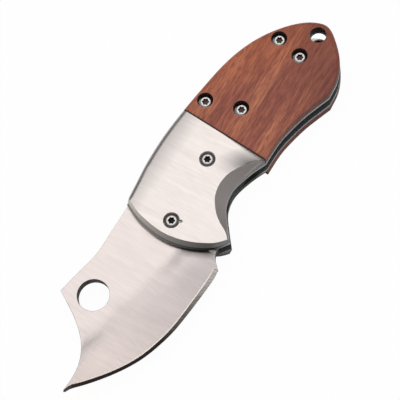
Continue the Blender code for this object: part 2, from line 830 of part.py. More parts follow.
def relief_cutter():
    """The finger relief: it takes the front bolster's rim away along the choil, sloping out to the liner."""
    centre = bolster_place(relief_centre_shares)
    border = smooth_run([bolster_place(s) for s in relief_shares])
    below = Vector((0, -handle_rise))
    bm = bmesh.new()
    rows = []
    for height in (scale_in - cut_overrun, scale_out + cut_overrun):
        share = 1 - (1 - relief_foot_share) * (scale_out - height) / scale_thickness
        row = [centre + (point - centre) * share for point in border]
        row += [row[-1] + below, row[0] + below]
        rows.append([bm.verts.new((spot.x, spot.y, height * front_side)) for spot in row])
    for i, low in enumerate(rows[0]):
        j = (i + 1) % len(rows[0])
        bm.faces.new((low, rows[0][j], rows[1][j], rows[1][i]))
    for row in rows:
        bm.faces.new(row)
    return new_cutter("finger_relief", finish_mesh(bm, "finger_relief"))


def centre_on_origin():
    """Puts the origin under the middle of the knife's box, on the plane that the knife lies on."""
    bpy.context.view_layer.update()
    view = bpy.context.evaluated_depsgraph_get()
    corners = []
    for piece in parts.objects:
        if piece.type == "MESH":
            shaped = piece.evaluated_get(view)
            corners += [shaped.matrix_world @ v.co for v in shaped.data.vertices]
    low = [min(c[i] for c in corners) for i in range(3)]
    high = [max(c[i] for c in corners) for i in range(3)]
    middle.location = (-(low[0] + high[0]) / 2, -(low[1] + high[1]) / 2, -low[2])
    bpy.context.view_layer.update()


clear_scene()
parts = new_collection("folding_knife")
cutters = new_collection("cutters")
edge_sharpener = new_edge_sharpener()
middle = bpy.data.objects.new("middle", None)
parts.objects.link(middle)
blade_pivot = new_empty("blade_pivot", middle, (0, 0, 0))
leaf_height = -(slot_half + liner_out) / 2
lock_hinge = new_empty("lock_hinge", middle, (leaf_root, 0, leaf_height))
lock_hinge.rotation_euler = (0, math.asin(leaf_lift_height / leaf_length), 0)

bolster_screw_place = bolster_place(bolster_screw_shares)
standoff_places = {word: scale_place(s) for word, s in standoff_screw_shares.items()}
scale_screw_places = dict(standoff_places, grip=scale_place(grip_screw_shares))
ball_place = Vector((lock_face_reach + seat_gap + detent_radius * 2, -leaf_drop - detent_radius * 2))

pivot_bore = through_cutter("pivot_bore", Vector((0, 0)), barrel_radius + running_gap, bore_sides)
stop_pin_bore = through_cutter("stop_pin_bore", polar(stop_pin_reach, stop_pin_angle),
                               stop_pin_radius + running_gap, bore_sides)
bolster_bore = through_cutter("bolster_bore", bolster_screw_place, bore_radius, screw_sides)
scale_bores = {word: through_cutter("scale_bore_" + word, place, bore_radius, screw_sides)
               for word, place in scale_screw_places.items()}
lanyard_hole = through_cutter("lanyard_hole", scale_place(lanyard_shares), lanyard_radius, bore_sides)
pivot_seats = seat_cutters("pivot", Vector((0, 0)), bolster_sink_depth)
bolster_seats = seat_cutters("bolster", bolster_screw_place, bolster_sink_depth)
scale_seats = {}
for word, place in scale_screw_places.items():
    for side, seat in seat_cutters("scale_" + word, place, wood_sink_depth).items():
        scale_seats[word, side] = seat
finger_relief = relief_cutter()
nub_seat = cylinder_cutter("nub_seat", polar(nub_reach, nub_angle), nub_radius + running_gap,
                           scale_out - bolster_sink_depth - head_height - running_gap, scale_out + cut_overrun,
                           screw_sides)

make_blade()
for side in (front_side, back_side):
    make_bolster(side)
    make_scale(side)
    make_liner(side)
make_lock_leaf()
make_pivot_barrel()
make_washers()
make_stop_pin()
make_standoffs()
make_screws()
centre_on_origin()
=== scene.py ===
# %% [markdown]
# # A folding pocket knife, lying open
#
# The knife lies on its back side with the blade swung out. Its shapes come from the packed
# CAD model, which is loaded first and stays fixed. This lesson gives each piece a finish,
# with some light and shade painted into its colours, and remakes the pieces whose soft
# edges and fine detail the plain solids lack.

# %% Load the frame
import bmesh
import bpy
import json
import math
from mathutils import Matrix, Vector

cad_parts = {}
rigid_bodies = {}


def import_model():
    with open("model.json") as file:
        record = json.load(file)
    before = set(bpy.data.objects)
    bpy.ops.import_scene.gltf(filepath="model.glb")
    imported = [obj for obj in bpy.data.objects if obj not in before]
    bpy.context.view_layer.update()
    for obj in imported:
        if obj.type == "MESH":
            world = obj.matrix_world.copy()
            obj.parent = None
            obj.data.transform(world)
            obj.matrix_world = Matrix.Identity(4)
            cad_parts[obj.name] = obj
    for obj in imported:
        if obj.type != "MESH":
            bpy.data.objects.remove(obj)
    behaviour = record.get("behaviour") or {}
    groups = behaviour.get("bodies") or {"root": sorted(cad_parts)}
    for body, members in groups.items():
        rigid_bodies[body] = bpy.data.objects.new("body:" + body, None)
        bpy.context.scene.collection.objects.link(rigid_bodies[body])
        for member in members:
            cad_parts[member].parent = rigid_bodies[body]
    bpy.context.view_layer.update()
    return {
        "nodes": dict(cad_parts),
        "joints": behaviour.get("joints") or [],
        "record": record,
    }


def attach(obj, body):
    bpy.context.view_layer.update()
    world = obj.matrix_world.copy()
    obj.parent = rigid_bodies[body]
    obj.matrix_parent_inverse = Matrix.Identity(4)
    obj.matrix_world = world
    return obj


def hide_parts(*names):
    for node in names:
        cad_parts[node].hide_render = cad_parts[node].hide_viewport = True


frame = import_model()
nodes = frame["nodes"]

# %% [markdown]
# ## Where things are
#
# The knife's own measures run from its pivot: +X towards the butt, +Y towards the spine and
# +Z up out of the side that faces us. The pivot's place comes from the record, so every
# mask below and the camera follow the model if it is packed again. The blade's grind starts
# at a straight line, which is kept as one spot on it and the way down from it.

# %% The pivot
mm = 0.001
pivot = Vector(frame["joints"][0]["pos_m"])
to_butt_way, to_tip_way = (1, 0, 0), (-1, 0, 0)
to_spine_way = (0, 1, 0)
to_front_way = (0, 0, 1)
grind_start = (-3.7, -6.3, 0)
grind_turn = math.radians(-9.7)
below_grind = Vector((math.sin(grind_turn), -math.cos(grind_turn), 0))
print("pivot at", [round(v / mm, 2) for v in pivot], "mm")

# %% [markdown]
# ## The camera
#
# The picture was taken from nearly straight above with a long lens, a little from the tip
# and the edge side. The far side of each hole and the slot between the liners show it. The
# camera is set first, because every finish below is judged through it.

# %% Camera
camera_from_pivot = Vector((-96.54, -139.96, 454.15)) * mm
camera_turns = (20.186, 6.301, -54.401)
camera_lens = 153
camera_sensor_width = 36
nearest_seen = 10 * mm
bpy.ops.object.camera_add(location=pivot + camera_from_pivot)
camera = bpy.context.active_object
camera.name = "photo_camera"
camera.rotation_euler = [math.radians(turn) for turn in camera_turns]
camera.data.lens = camera_lens
camera.data.sensor_width = camera_sensor_width
camera.data.clip_start = nearest_seen
bpy.context.scene.camera = camera
bpy.context.scene.view_settings.view_transform = "Standard"
print("camera", round((camera.location - pivot).length / mm), "mm from the pivot")

# %% [markdown]
# ## The table
#
# A product picture like this is shot on a white sweep. The floor is a plain white sheet
# under the knife. Seen by the camera it glows at a strength of 1, so it prints as paper
# white, and a small part of its own shading stays so that the knife keeps a soft shadow.

# %% Floor
floor_size = 6
paper_white = (0.97, 0.97, 0.97, 1)
paper_roughness = 0.9
paper_glow = 1
glow_share = 0.965
bpy.ops.mesh.primitive_plane_add(size=floor_size, location=(0, 0, 0))
floor = bpy.context.active_object
floor.name = "floor"


def new_material(name):
    """A named material, its node tree and its Principled shader."""
    finish = bpy.data.materials.new(name)
    finish.use_nodes = True
    return finish, finish.node_tree, finish.node_tree.nodes["Principled BSDF"]


paper, tree, shader = new_material("white_paper")
shader.inputs["Base Color"].default_value = paper_white
shader.inputs["Roughness"].default_value = paper_roughness
rays = tree.nodes.new("ShaderNodeLightPath")
seen = tree.nodes.new("ShaderNodeMath")
seen.operation = "MAXIMUM"
glow = tree.nodes.new("ShaderNodeEmission")
glow.inputs["Strength"].default_value = paper_glow
blend = tree.nodes.new("ShaderNodeMixShader")
share = tree.nodes.new("ShaderNodeMath")
share.operation = "MULTIPLY"
share.inputs[1].default_value = glow_share
tree.links.new(rays.outputs["Is Camera Ray"], seen.inputs[0])
tree.links.new(rays.outputs["Is Transmission Ray"], seen.inputs[1])
tree.links.new(seen.outputs[0], share.inputs[0])
tree.links.new(share.outputs[0], blend.inputs[0])
tree.links.new(shader.outputs["BSDF"], blend.inputs[1])
tree.links.new(glow.outputs["Emission"], blend.inputs[2])
tree.links.new(blend.outputs[0], tree.nodes["Material Output"].inputs["Surface"])
floor.data.materials.append(paper)
print("floor", floor.dimensions[:])

# %% [markdown]
# ## The light
#
# Satin steel is a soft mirror, so it shows the lamp rather than its own colour. One broad
# soft panel hangs on the far side, where the flat steel mirrors it to the camera. The room
# on the near side stays dim, and the sloped edges that mirror it turn grey. A second panel
# fills the shadows, and no steel mirrors it.

# %% Lamps and room
room_white = (1, 1, 1, 1)
room_level = 0.26
panel_turn = math.radians(53)
room = bpy.data.worlds.new("dim_room")
bpy.context.scene.world = room
room.use_nodes = True
background = room.node_tree.nodes["Background"]
background.inputs["Color"].default_value = room_white
background.inputs["Strength"].default_value = room_level


def soft_panel(name, away, height, size, level):
    """A panel over the knife that shines straight down, at a level where 1 shows a colour as written."""
    bpy.ops.object.light_add(type="AREA", location=(*away, height))
    panel = bpy.context.active_object
    panel.name = name
    panel.data.shape = "RECTANGLE"
    panel.data.size, panel.data.size_y = size
    panel.data.energy = math.pi * size[0] * size[1] * level
    panel.rotation_euler = (0, 0, panel_turn)
    print(name, "energy", round(panel.data.energy, 2))
    return panel


soft_panel("far_panel", away=(0.17, 0.23), height=0.6, size=(0.52, 1.0), level=1.1)
fill_panel = soft_panel("fill_panel", away=(-0.1, -0.1), height=0.9, size=(1.2, 1.2), level=0.9)
fill_panel.visible_glossy = False

# %% [markdown]
# ## Working from the frame's pieces
#
# A piece from the CAD file is a heap of loose triangles with hard corners. A worked copy
# is merged, its flat faces are joined, its corners get a small bevel that catches light as
# a ground corner does, and its curves are shaded smooth. The weighted normals keep each
# large face flat right up to its corners.

# %% Helpers for worked copies
weld_gap = 0.001 * mm
bolster_weld_gap = 0.02 * mm
flat_angle = math.radians(0.1)
corner_angle = math.radians(38)
corner_width = 0.08 * mm
corner_steps = 2
curve_angle = math.radians(30)
large_face_weight = 90
slots = {row["node"]: row["material_slot"] for row in frame["record"]["subparts"]}
bodies = frame["record"]["behaviour"]["bodies"]


def deselect():
    """Leaves no object selected."""
    bpy.ops.object.select_all(action="DESELECT")


def start_editing(piece, kind):
    """Opens a piece in edit mode, with nothing selected in it."""
    deselect()
    piece.select_set(True)
    bpy.context.view_layer.objects.active = piece
    bpy.ops.object.mode_set(mode="EDIT")
    bpy.ops.mesh.select_mode(type=kind)
    bpy.ops.mesh.select_all(action="DESELECT")
    return bmesh.from_edit_mesh(piece.data)


def merged_copy(node, gap=weld_gap):
    """A copy of a CAD piece with its triangles joined to whole faces."""
    deselect()
    nodes[node].select_set(True)
    bpy.context.view_layer.objects.active = nodes[node]
    bpy.ops.object.duplicate()
    piece = bpy.context.active_object
    piece.name = node + "_worked"
    bpy.ops.object.parent_clear(type="CLEAR_KEEP_TRANSFORM")
    bpy.ops.mesh.customdata_custom_splitnormals_clear()
    bpy.ops.object.mode_set(mode="EDIT")
    bpy.ops.mesh.select_all(action="SELECT")
    bpy.ops.mesh.remove_doubles(threshold=gap)
    bpy.ops.mesh.dissolve_limited(angle_limit=flat_angle)
    bpy.ops.object.mode_set(mode="OBJECT")
    piece.data.materials.clear()
    return piece


def ease_corners(piece, smooth=curve_angle):
    """A small bevel on every real corner, then smooth shading with the large faces kept flat."""
    easing = piece.modifiers.new("corners", "BEVEL")
    easing.limit_method = "ANGLE"
    easing.angle_limit = corner_angle
    easing.width = corner_width
    easing.segments = corner_steps
    easing.use_clamp_overlap = False
    bpy.ops.object.modifier_apply(modifier="corners")
    bpy.ops.object.shade_smooth_by_angle(angle=smooth)
    flat = piece.modifiers.new("flat_faces", "WEIGHTED_NORMAL")
    flat.keep_sharp = True
    flat.weight = large_face_weight


def put_in_frame(piece, node, body):
    """The worked copy stands for its CAD piece and moves with its body."""
    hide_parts(node)
    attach(piece, body)
    print(piece.name, len(piece.data.polygons), "faces")


print("slots:", sorted(set(slots.values())))

# %% Copies of the pieces
worked = {}
for body, members in bodies.items():
    for node in members:
        if node != "blade":
            worked[node] = merged_copy(node, bolster_weld_gap if "bolster" in node else weld_gap)
            ease_corners(worked[node])
            put_in_frame(worked[node], node, body)

# %% [markdown]
# ## The leaf's root
#
# The lock leaf is cut from the back liner and stays joined to it at its root. In the frame a
# thin gap parts the two bodies there. The copy's root end is drawn out to close that gap.

# %% Root of the lock leaf
root_depth = 0.12 * mm
root_draw = 0.24 * mm
leaf = worked["lock_leaf"]
root = max(corner.co.x for corner in leaf.data.vertices)
net = start_editing(leaf, "VERT")
for corner in net.verts:
    corner.select = corner.co.x > root - root_depth
print("root corners:", sum(corner.select for corner in net.verts))
bmesh.update_edit_mesh(leaf.data)
bpy.ops.transform.translate(value=(root_draw, 0, 0))
bpy.ops.object.mode_set(mode="OBJECT")

# %% [markdown]
# ## The blade's shoulder
#
# Where the ground face turns into the cutting bevel, a polished line catches the light, and
# that highlight is painted into the line's colour. On one side of that shoulder lies the
# nearly level grind, on the other the steeper cutting bevel, so its edges are chosen by how
# level their two faces are. They also have to lie well below the grind line and towards the
# tip, so that no edge of the tang or the notch is among them. A narrow bevel along them makes
# the line, with its own material of painted highlight.

# %% Blade
shoulder_width = 0.18 * mm
tang_side = -4 * mm
grind_margin = 3
least_edge = 0.3 * mm
bevel_least_level, bevel_most_level = 0.45, 0.985
shoulder_most_angle = math.radians(45)
blade_curve_angle = math.radians(5)
blade = merged_copy("blade")
net = start_editing(blade, "EDGE")
for edge in net.edges:
    steep, level = sorted(abs(face.normal.z) for face in edge.link_faces)
    spot = (edge.verts[0].co + edge.verts[1].co) / 2 - pivot
    across, down = spot.x / mm - grind_start[0], spot.y / mm - grind_start[1]
    under_grind = across * below_grind.x + down * below_grind.y
    on_belly = spot.x < tang_side and under_grind > grind_margin and edge.calc_length() > least_edge
    on_shoulder = bevel_least_level < steep < bevel_most_level < level
    edge.select = on_belly and on_shoulder and edge.calc_face_angle() < shoulder_most_angle
print("shoulder edges:", sum(edge.select for edge in net.edges))
bmesh.update_edit_mesh(blade.data)
bpy.ops.mesh.bevel(offset=shoulder_width, segments=1, affect="EDGES", clamp_overlap=False)
blade.data.materials.append(None)
blade.data.materials.append(None)
blade.active_material_index = 1
bpy.ops.object.material_slot_assign()
bpy.ops.object.mode_set(mode="OBJECT")
ease_corners(blade, smooth=blade_curve_angle)
worked["blade"] = blade
put_in_frame(blade, "blade", next(body for body, members in bodies.items() if "blade" in members))

# %% [markdown]
# ## Node helpers
#
# A few short functions place nodes, so that the materials below read as recipes. A fade
# is the most used of them. The recipes keep each fade as four numbers: where it starts and
# ends, in millimetres or as a share, and its value at both ends.

# %% Node helpers
def new_group(name, inputs, outputs):
    """An empty node group with named sockets, and its two end nodes."""
    group = bpy.data.node_groups.new(name, "ShaderNodeTree")
    for word, kind, value in inputs:
        socket = group.interface.new_socket(word, in_out="INPUT", socket_type=kind)
        socket.default_value = value
    for word in outputs:
        group.interface.new_socket(word, in_out="OUTPUT", socket_type="NodeSocketFloat")
    return group, group.nodes.new("NodeGroupInput"), group.nodes.new("NodeGroupOutput")


def place_group(tree, group, output=0, **values):
    """A group set into a material, with its own values. Gives one of its outputs."""
    node = tree.nodes.new("ShaderNodeGroup")
    node.node_tree = group
    for word, value in values.items():
        node.inputs[word].default_value = value
    return node.outputs[output]


def feed(tree, value, socket):
    """Links a socket into another, or writes a plain value there."""
    if isinstance(value, bpy.types.NodeSocket):
        tree.links.new(value, socket)
    else:
        socket.default_value = value


def vector_step(tree, operation, one, other=None):
    """One step of arithmetic on vectors. Gives the node, which has a vector and a value."""
    node = tree.nodes.new("ShaderNodeVectorMath")
    node.operation = operation
    feed(tree, one, node.inputs[0])
    if other is not None:
        feed(tree, other, node.inputs[1])
    return node


def value_step(tree, operation, one, other=0.0):
    """One step of arithmetic on values."""
    node = tree.nodes.new("ShaderNodeMath")
    node.operation = operation
    feed(tree, one, node.inputs[0])
    feed(tree, other, node.inputs[1])
    return node.outputs[0]


def product(tree, one, other):
    """One value times another."""
    return value_step(tree, "MULTIPLY", one, other)


def fade(tree, source, low, high, out_low=0, out_high=1):
    """Maps a value from one span to another, and keeps it inside."""
    node = tree.nodes.new("ShaderNodeMapRange")
    for socket, value in zip(("From Min", "From Max", "To Min", "To Max"), (low, high, out_low, out_high)):
        node.inputs[socket].default_value = value
    tree.links.new(source, node.inputs["Value"])
    return node.outputs["Result"]


def rest_of(tree, share):
    """What a share leaves of 1."""
    return fade(tree, share, 0, 1, 1, 0)


def mix_colours(tree, share, one, other, blend="MIX"):
    """Mixes two colours by a share."""
    node = tree.nodes.new("ShaderNodeMix")
    node.data_type = "RGBA"
    node.blend_type = blend
    for socket, value in ((node.inputs[0], share), (node.inputs[6], one), (node.inputs[7], other)):
        feed(tree, (*value, 1) if isinstance(value, tuple) else value, socket)
    return node.outputs[2]


def bump(tree, height, strength, distance):
    """A bump from a height value."""
    node = tree.nodes.new("ShaderNodeBump")
    node.inputs["Strength"].default_value = strength
    node.inputs["Distance"].default_value = distance
    tree.links.new(height, node.inputs["Height"])
    return node


print("helpers ready")

# %% [markdown]
# ## Shared effects
#
# Three effects are used by several materials, so each is made once as a node group. One
# draws the fine lines that a belt leaves. One measures how far a spot lies from a plane or
# round a spot in the knife's own millimetres, for masks. One tells how level a face lies, by
# its flat and by its smooth normal, for telling flat faces from walls and rolled corners.

# %% Brushed lines group
line_roughness = 0.65
usual_detail = 3
brushed, start, end = new_group(
    "brushed_lines",
    [("Turn", "NodeSocketVector", (0, 0, 0)), ("Closeness", "NodeSocketVector", (100, 5000, 100)),
     ("Detail", "NodeSocketFloat", usual_detail)],
    ["Lines"])
place = brushed.nodes.new("ShaderNodeTexCoord")
turn = brushed.nodes.new("ShaderNodeMapping")
noise = brushed.nodes.new("ShaderNodeTexNoise")
noise.inputs["Scale"].default_value = 1
noise.inputs["Roughness"].default_value = line_roughness
brushed.links.new(place.outputs["Object"], turn.inputs["Vector"])
brushed.links.new(start.outputs["Turn"], turn.inputs["Rotation"])
stretch = vector_step(brushed, "MULTIPLY", turn.outputs["Vector"], start.outputs["Closeness"])
brushed.links.new(stretch.outputs["Vector"], noise.inputs["Vector"])
brushed.links.new(start.outputs["Detail"], noise.inputs["Detail"])
brushed.links.new(noise.outputs["Fac"], end.inputs["Lines"])
print("group:", brushed.name)

# %% Distance group
measured, start, end = new_group(
    "distance_across",
    [("From", "NodeSocketVector", (0, 0, 0)), ("Across", "NodeSocketVector", (1, 0, 0))],
    ["Millimetres", "Reach"])
place = measured.nodes.new("ShaderNodeTexCoord")
from_pivot = vector_step(measured, "SUBTRACT", place.outputs["Object"], pivot)
in_mm = vector_step(measured, "MULTIPLY", from_pivot.outputs["Vector"], (1 / mm, 1 / mm, 1 / mm))
offset = vector_step(measured, "SUBTRACT", in_mm.outputs["Vector"], start.outputs["From"])
along = vector_step(measured, "DOT_PRODUCT", offset.outputs["Vector"], start.outputs["Across"])
level_offset = vector_step(measured, "MULTIPLY", offset.outputs["Vector"], (1, 1, 0))
reach = vector_step(measured, "LENGTH", level_offset.outputs["Vector"])
measured.links.new(along.outputs["Value"], end.inputs["Millimetres"])
measured.links.new(reach.outputs["Value"], end.inputs["Reach"])
print("group:", measured.name)

# %% Level group
levelled, start, end = new_group("how_level", [], ["Level", "Roll"])
way = levelled.nodes.new("ShaderNodeNewGeometry")
for normal, word in (("True Normal", "Level"), ("Normal", "Roll")):
    parts = levelled.nodes.new("ShaderNodeSeparateXYZ")
    levelled.links.new(way.outputs[normal], parts.inputs[0])
    levelled.links.new(value_step(levelled, "ABSOLUTE", parts.outputs["Z"]), end.inputs[word])
print("group:", levelled.name)

# %% [markdown]
# Each group gets a short call. Noise lines are turned by some degrees and drawn as close
# together as their three closeness numbers say, in lines for each metre.

# %% Short calls for the groups
noise_low, noise_high = 0.35, 0.65


def brush(tree, closeness, turn=0, detail=usual_detail):
    """Lines of noise, with a value from 0 to 1."""
    turns = (0, 0, math.radians(turn))
    return place_group(tree, brushed, Turn=turns, Closeness=closeness, Detail=detail)


def spread(tree, lines, out_low=0, out_high=1):
    """Maps the middle of a noise, where most of its values lie, to another span."""
    return fade(tree, lines, noise_low, noise_high, out_low, out_high)


def distance(tree, way, start=(0, 0, 0)):
    """Millimetres along a way, from a start given from the pivot."""
    return place_group(tree, measured, From=start, Across=way)


def reach_from(tree, start):
    """Millimetres around a start, seen from above."""
    return place_group(tree, measured, output=1, From=start)


print("short calls ready")

# %% [markdown]
# ## Satin steel
#
# The blade and the bolsters are one steel, pale and slightly warm. Fine lines, broad lines
# and faint clouds make its face. Their walls get painted shade, and on the bolsters painted
# light as well. A normal rounded over a chosen radius softens the corners that a belt rolled over.

# %% Satin steel
fine_lines, fine_turn, fine_share = (160, 4200, 160), 97, 0.6
broad_lines, broad_turn, broad_share = (60, 1300, 60), 82, 0.4
clouds = (75, 110, 75)
cloud_grey = (0.60, 0.56, 0.55)
cloud_fade = (0.40, 0.70, 0, 0.14)
line_dimming = 0.90
line_depth = 0.02 * mm
scratch_strength = 0.12
rounding_samples = 8


def satin_face(tree, pale):
    """The colour of a brushed face, and the lines for its roughness and bump."""
    fine = product(tree, brush(tree, fine_lines, fine_turn), fine_share)
    broad = product(tree, brush(tree, broad_lines, broad_turn), broad_share)
    lines = value_step(tree, "ADD", fine, broad)
    face = mix_colours(tree, spread(tree, lines), tuple(c * line_dimming for c in pale), pale)
    cloudy = fade(tree, brush(tree, clouds), *cloud_fade)
    return mix_colours(tree, cloudy, face, cloud_grey), lines


def soft_corner(tree, radius, lines):
    """A brushed normal over a normal that is rounded near corners."""
    rounded = tree.nodes.new("ShaderNodeBevel")
    rounded.samples = rounding_samples
    feed(tree, radius, rounded.inputs["Radius"])
    scratched = bump(tree, lines, scratch_strength, line_depth)
    tree.links.new(rounded.outputs["Normal"], scratched.inputs["Normal"])
    return scratched.outputs["Normal"]


print("satin recipe ready")

# %% [markdown]
# ## Blade finish
#
# The face below the straight grind line leans a little, and its greyer look is painted in as
# shade, which changes from the heel over the belly to a painted lightening at the tip. A dark
# soft painted shade lies where the grind starts, strongest by the bolster and by the front
# edge. The bolster's nose shades the steel beside it. The cutting bevel is a coarse grind:
# grey with cross lines near the heel, with painted dark brown shade towards the tip. The
# walls are painted near black, as shade.

# %% Colours and fades on the blade
blade_pale = (0.765, 0.68, 0.65)
blade_roughness = (0.36, 0.29)
blade_specular = 0.1

# Painted shade and light on the leaning grind: darker at the heel, lighter at the tip.
heel_grind_shade, belly_grind_shade, tip_grind_lightening = (0.80, 0.81, 0.83), (0.93, 0.925, 0.94), (1.20, 1.17, 1.16)
heel_to_belly, belly_to_tip = (8, 20, 0, 1), (24, 42, 0, 1)
grind_fade = (-1.5, 6.5, 0, 1)

# A painted shade along the grind line, where its concave start mirrors something dark.
grind_line_shade_grey = (0.30, 0.28, 0.28)
grind_line_shade_share = 0.62
grind_line_shade_clouds, grind_line_shade_sway = (140, 260, 140), (-0.7, 0.7)
grind_line_shade_rise, grind_line_shade_fall = (-1.3, 0.5, 0, 1), (0.6, 3.6, 1, 0)
bolster_end_fade, front_edge_fade = (4, 15, 1, 0.12), (34, 41, 0, 0.75)

nose = (-3.9, -6.3, 0)
from_nose_way, along_nose_way = (-0.897, -0.442, 0), (0.442, -0.897, 0)
nose_shade = (0.10, 0.095, 0.095)
nose_reach = (0.2, 2.6, 1, 0)
nose_rise, nose_fall = (-2, 2, 0, 0.75), (7, 11, 1, 0)

cross_lines, cross_turn = (300, 2600, 300), 40
cross_dull, cross_bright = (0.46, 0.41, 0.37), (0.88, 0.82, 0.77)
# Painted shade on the steep cutting bevel, growing towards the tip.
bevel_tip_shade = (0.085, 0.066, 0.058)
tip_shade_fade = (8, 29, 0, 1)
bevel_lean = (0.972, 0.980, 1, 0)
heel_scattering = (6, 17, 0.6, 0)
# Near black painted shade on the blade's side walls and hole wall.
wall_shade_black = (0.035, 0.033, 0.032)
off_wall_lean = (0.1, 0.35, 0, 1)

line_rounding = (1.2, 2.4, 1.6 * mm, 0.05 * mm)
rounding_end = (31, 36, 1, 0)
print("blade recipe ready")

# %% Blade finish
blade_steel, tree, shader = new_material("blade_steel")
face, lines = satin_face(tree, blade_pale)
from_grind = distance(tree, below_grind, grind_start)
to_tip = distance(tree, to_tip_way)
level = place_group(tree, levelled)

# The grind below its line gets painted shade, turning to painted light towards the tip.
tone = mix_colours(tree, fade(tree, to_tip, *heel_to_belly), heel_grind_shade, belly_grind_shade)
tone = mix_colours(tree, fade(tree, to_tip, *belly_to_tip), tone, tip_grind_lightening)
face = mix_colours(tree, fade(tree, from_grind, *grind_fade), face, tone, "MULTIPLY")

# Painted shade along the grind line, strongest by the bolster and by the front edge.
wander = spread(tree, brush(tree, grind_line_shade_clouds), *grind_line_shade_sway)
wavy = value_step(tree, "ADD", from_grind, wander)
grind_line_shade = product(tree, fade(tree, wavy, *grind_line_shade_rise), fade(tree, wavy, *grind_line_shade_fall))
by_bolster = fade(tree, to_tip, *bolster_end_fade)
by_front_edge = fade(tree, to_tip, *front_edge_fade)
grind_line_shade = product(tree, grind_line_shade, value_step(tree, "MAXIMUM", by_bolster, by_front_edge))
face = mix_colours(tree, product(tree, grind_line_shade, grind_line_shade_share), face, grind_line_shade_grey)

from_nose = distance(tree, from_nose_way, nose)
along_nose = distance(tree, along_nose_way, nose)
shaded = product(tree, fade(tree, along_nose, *nose_rise), fade(tree, along_nose, *nose_fall))
shaded = product(tree, fade(tree, from_nose, *nose_reach), shaded)
face = mix_colours(tree, shaded, face, nose_shade)

cross = spread(tree, brush(tree, cross_lines, cross_turn))
cutting = mix_colours(tree, cross, cross_dull, cross_bright)
# The bevel darkens towards the tip as painted shade.
cutting = mix_colours(tree, fade(tree, to_tip, *tip_shade_fade), cutting, bevel_tip_shade)
on_bevel = fade(tree, level, *bevel_lean)
face = mix_colours(tree, on_bevel, face, cutting)
# The walls are painted near black, as shade.
off_walls = fade(tree, level, *off_wall_lean)
face = mix_colours(tree, off_walls, wall_shade_black, face)
feed(tree, face, shader.inputs["Base Color"])

scattering = product(tree, on_bevel, fade(tree, to_tip, *heel_scattering))
metal = product(tree, off_walls, value_step(tree, "SUBTRACT", 1.0, scattering))
feed(tree, metal, shader.inputs["Metallic"])
shader.inputs["Specular IOR Level"].default_value = blade_specular
feed(tree, spread(tree, lines, *blade_roughness), shader.inputs["Roughness"])
near_line = value_step(tree, "ABSOLUTE", from_grind)
radius = fade(tree, near_line, *line_rounding)
radius = product(tree, radius, fade(tree, to_tip, *rounding_end))
feed(tree, soft_corner(tree, radius, lines), shader.inputs["Normal"])
blade.data.materials[0] = blade_steel
print("blade:", blade_steel.name)

# %% [markdown]
# The line along the shoulder is a painted highlight: bright and warm, and not quite even.

# %% Shoulder line
# The shoulder line is a painted highlight, warm to white.
highlight_clouds = (260, 260, 260)
highlight_warm, highlight_white = (1.0, 0.88, 0.76), (1.0, 0.96, 0.90)
line_gloss_roughness = 0.3
shoulder_highlight, tree, shader = new_material("shoulder_highlight")
glint = mix_colours(tree, spread(tree, brush(tree, highlight_clouds)), highlight_warm, highlight_white)
feed(tree, glint, shader.inputs["Base Color"])
shader.inputs["Roughness"].default_value = line_gloss_roughness
blade.data.materials[1] = shoulder_highlight
print("blade:", [material.name for material in blade.data.materials])

# %% [markdown]
# ## Bolster finish
#
# The bolsters share the satin steel. Their corner by the wood was rolled over on the belt,
# so the rounding of the normal grows towards it. The rolled spine, the finger relief and the
# flat face by the joint corner turn away from the lamp, and their grey is painted shade. The
# leaning front wall gets painted light and shade: brighter where it faces the tip than where
# it faces the edge side. The walls below the blade's middle are painted dark, as shade.

# %% Colours and fades on the bolsters
bolster_pale = (0.81, 0.74, 0.705)
bolster_roughness = (0.38, 0.30)

spine_edge, from_spine_way = (17, 17.3, 0), (0.03, -1, 0)
# Painted shade on the band by the spine and on the rolled rim.
spine_shade_grey, spine_fade = (0.42, 0.39, 0.375), (1.8, 7.5, 0.78, 0)
rim_shade_grey = (0.22, 0.21, 0.205)
rim_lean, rim_end = (0.72, 0.97, 0.5, 0), (3, 5, 1, 0)

relief_middle = (17, -15, 0)
# Painted shade on the flat face by the joint corner and in the finger relief.
corner_shade_grey = (0.17, 0.165, 0.165)
corner_reach, corner_start = (11.2, 16.5, 1, 0), (19.5, 26, 0, 1)
corner_lean = (0.95, 0.985, 0.15, 1)
relief_shade_grey = (0.26, 0.26, 0.265)
relief_lean, relief_end = (0.93, 0.98, 0.4, 0), (5, 13, 1, 0)

# Painted light and shade on the leaning front wall: lighter where it faces the tip.
wall_shaded_tone, wall_lit_tone, wall_fade = (0.18, 0.175, 0.17), (0.90, 0.83, 0.77), (-12, 8, 0, 1)
wall_lines_grey, wall_lines_share = (0.20, 0.19, 0.18), 0.2
# Painted shade on the walls below the blade's middle, on the back bolster.
low_wall_shade, wall_low_fade = (0.07, 0.07, 0.072), (-1, 1, 0.9, 0)
wall_lean, metal_lean = (0.45, 0.62, 1, 0), (0.45, 0.62, 0.1, 1)

joint_corner, from_corner_way = (29.4, -11.7, 0), (-0.8, 0.6, 0)
corner_rounding = (3.5, 9, 1.6 * mm, 0.12 * mm)
print("bolster recipe ready")

# %% Bolster finish
bolster_steel, tree, shader = new_material("bolster_steel")
face, lines = satin_face(tree, bolster_pale)
level = place_group(tree, levelled)
roll = place_group(tree, levelled, output=1)
from_spine = distance(tree, from_spine_way, spine_edge)
to_spine = distance(tree, to_spine_way)
to_butt = distance(tree, to_butt_way)
height = distance(tree, to_front_way)
# Painted shade on the band by the spine.
face = mix_colours(tree, fade(tree, from_spine, *spine_fade), face, spine_shade_grey)

# Painted shade on the flat face by the joint corner.
corner = fade(tree, reach_from(tree, relief_middle), *corner_reach)
corner = product(tree, corner, fade(tree, to_butt, *corner_start))
corner = product(tree, corner, fade(tree, roll, *corner_lean))
face = mix_colours(tree, corner, face, corner_shade_grey)
